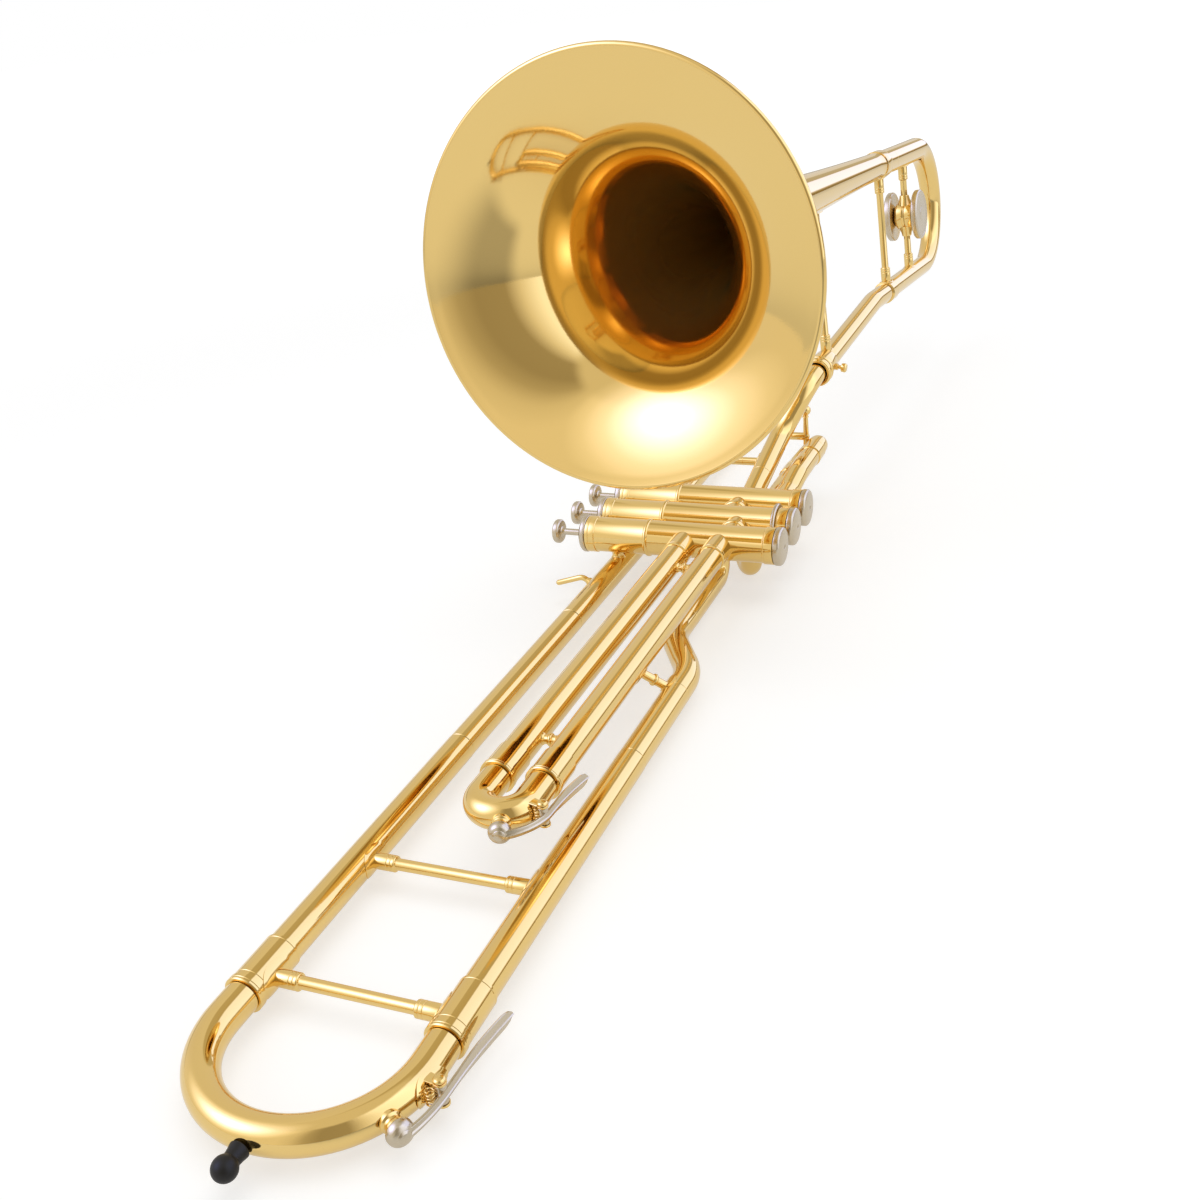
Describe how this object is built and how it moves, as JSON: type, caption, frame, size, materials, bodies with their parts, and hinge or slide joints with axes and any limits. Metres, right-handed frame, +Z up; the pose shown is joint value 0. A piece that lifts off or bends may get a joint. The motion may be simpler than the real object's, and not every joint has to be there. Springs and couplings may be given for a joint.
{
  "type": "valve trombone",
  "caption": "Valve trombone: flared bell section joined to a compact piston valve cluster, with long parallel tubes, pull slides at each end, water keys and disc balance weights.",
  "frame": {"origin": "under the middle of the bounding box, at the level of its lowest point", "axes": "+X out of the bell mouth and towards the front bow, +Z up, finger buttons facing -Y"},
  "size_m": [0.9962, 0.2022, 0.315],
  "materials": {
    "brass": "polished, clear lacquer",
    "nickel": "polished nickel silver",
    "steel": "spring wire",
    "rubber": "matt"
  },
  "bodies": {
    "instrument": {"bell": "brass", "neck_pipe": "brass", "bell_socket": "brass", "rear_fixed_brace": "brass", "bell_brace": "brass", "gooseneck": "brass", "lead_rail": "brass", "lead_pipe": "brass", "return_rail": "brass", "mouthpipe": "brass", "mouthpiece_receiver": "brass", "front_brace": "brass", "middle_brace": "brass", "s_bend": "brass", "s_bend_brace": "brass", "finger_hook": "brass", "gooseneck_brace": "brass", "mouthpipe_saddle": "brass", "first_valve_casing": "brass", "first_top_cap": "nickel", "first_bottom_cap": "nickel", "first_valve_spring": "steel", "second_valve_casing": "brass", "second_top_cap": "nickel", "second_bottom_cap": "nickel", "second_valve_spring": "steel", "third_valve_casing": "brass", "third_top_cap": "nickel", "third_bottom_cap": "nickel", "third_valve_spring": "steel", "first_knuckle": "brass", "second_knuckle": "brass", "second_valve_ring": "nickel", "third_slide_left_tube": "brass", "third_slide_right_tube": "brass", "third_slide_front_brace": "brass", "third_slide_rear_brace": "brass", "second_slide_front_tube": "brass", "second_slide_rear_tube": "brass", "first_slide_upper_tube": "brass", "first_slide_lower_tube": "brass"},
    "first_valve": {"first_piston": "nickel", "first_finger_button": "nickel"},
    "second_valve": {"second_piston": "nickel", "second_finger_button": "nickel"},
    "third_valve": {"third_piston": "nickel", "third_finger_button": "nickel"},
    "bell_slide": {"rear_bow": "brass", "rear_bow_brace": "brass", "right_balance_weight": "nickel", "left_balance_weight": "nickel"},
    "front_slide": {"front_bow": "brass", "front_key_screw": "brass", "front_bumper": "rubber"},
    "front_key": {"front_water_key": "nickel"},
    "third_slide": {"third_slide_bow": "brass", "third_key_screw": "brass"},
    "third_key": {"third_water_key": "nickel"},
    "second_slide": {"second_slide_bow": "brass"},
    "first_slide": {"first_slide_bow": "brass"}
  },
  "joints": [
    {"name": "first_valve_press", "type": "slide", "parent": "instrument", "child": "first_valve", "axis": [0, 1, 0], "range_m": [0, 0.0145], "stiffness_N_per_m": 60, "springref_m": -0.01, "deforming": ["first_valve_spring"]},
    {"name": "second_valve_press", "type": "slide", "parent": "instrument", "child": "second_valve", "axis": [0, 1, 0], "range_m": [0, 0.0145], "stiffness_N_per_m": 60, "springref_m": -0.01, "deforming": ["second_valve_spring"]},
    {"name": "third_valve_press", "type": "slide", "parent": "instrument", "child": "third_valve", "axis": [0, 1, 0], "range_m": [0, 0.0145], "stiffness_N_per_m": 60, "springref_m": -0.01, "deforming": ["third_valve_spring"]},
    {"name": "bell_slide_pull", "type": "slide", "parent": "instrument", "child": "bell_slide", "axis": [-0.9968, 0.054, -0.0593], "range_m": [0, 0.03]},
    {"name": "front_slide_pull", "type": "slide", "parent": "instrument", "child": "front_slide", "axis": [1, 0, 0], "range_m": [0, 0.06]},
    {"name": "third_slide_pull", "type": "slide", "parent": "instrument", "child": "third_slide", "axis": [1, 0, 0], "range_m": [0, 0.06]},
    {"name": "second_slide_pull", "type": "slide", "parent": "instrument", "child": "second_slide", "axis": [0, 0, -1], "range_m": [0, 0.004]},
    {"name": "first_slide_pull", "type": "slide", "parent": "instrument", "child": "first_slide", "axis": [-1, 0, 0], "range_m": [0, 0.025]},
    {"name": "front_key_pivot", "type": "hinge", "parent": "front_slide", "child": "front_key", "pos_m": [0.44437, 0.03628, 0.0127], "axis": [0, 0, 1], "range_deg": [0, 8], "stiffness_Nm_per_rad": 0.02, "springref_deg": -20.05},
    {"name": "third_key_pivot", "type": "hinge", "parent": "third_slide", "child": "third_key", "pos_m": [0.31386, 0.01812, 0.0329], "axis": [0, 0, 1], "range_deg": [0, 10], "stiffness_Nm_per_rad": 0.02, "springref_deg": -20.05}
  ]
}
